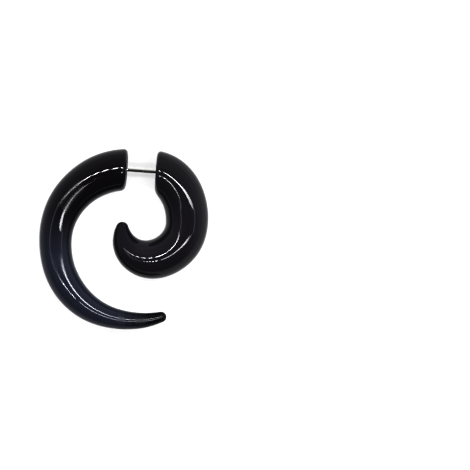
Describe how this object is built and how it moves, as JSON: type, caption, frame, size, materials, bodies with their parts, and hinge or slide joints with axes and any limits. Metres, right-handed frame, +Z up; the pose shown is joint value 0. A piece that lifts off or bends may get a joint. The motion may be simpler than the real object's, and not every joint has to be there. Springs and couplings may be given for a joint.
{
  "type": "fake ear taper",
  "caption": "Spiral fake ear taper: a long tapered horn and a comma-shaped curl joined by a thin straight ear post.",
  "frame": {"origin": "middle of the post's free length, on its axis", "axes": "-X along the post from the curl to the horn, the way an ear lobe goes off it; +Z up from the surface that the flat spirals lie on; the spirals hang towards -Y"},
  "size_m": [0.0399, 0.043, 0.0104],
  "materials": {
    "acrylic_horn": "polished black acrylic with a faint plum tint",
    "acrylic_curl": "polished black acrylic with a faint plum tint",
    "post_steel": "drawn surgical steel, lightly polished"
  },
  "bodies": {
    "curl_and_post": {"front_curl": "acrylic_curl", "steel_post": "post_steel"},
    "horn": {"taper_horn": "acrylic_horn"}
  },
  "joints": [
    {"name": "horn_draw", "type": "slide", "parent": "curl_and_post", "child": "horn", "axis": [-1, 0, 0], "range_m": [0, 0.012]}
  ]
}
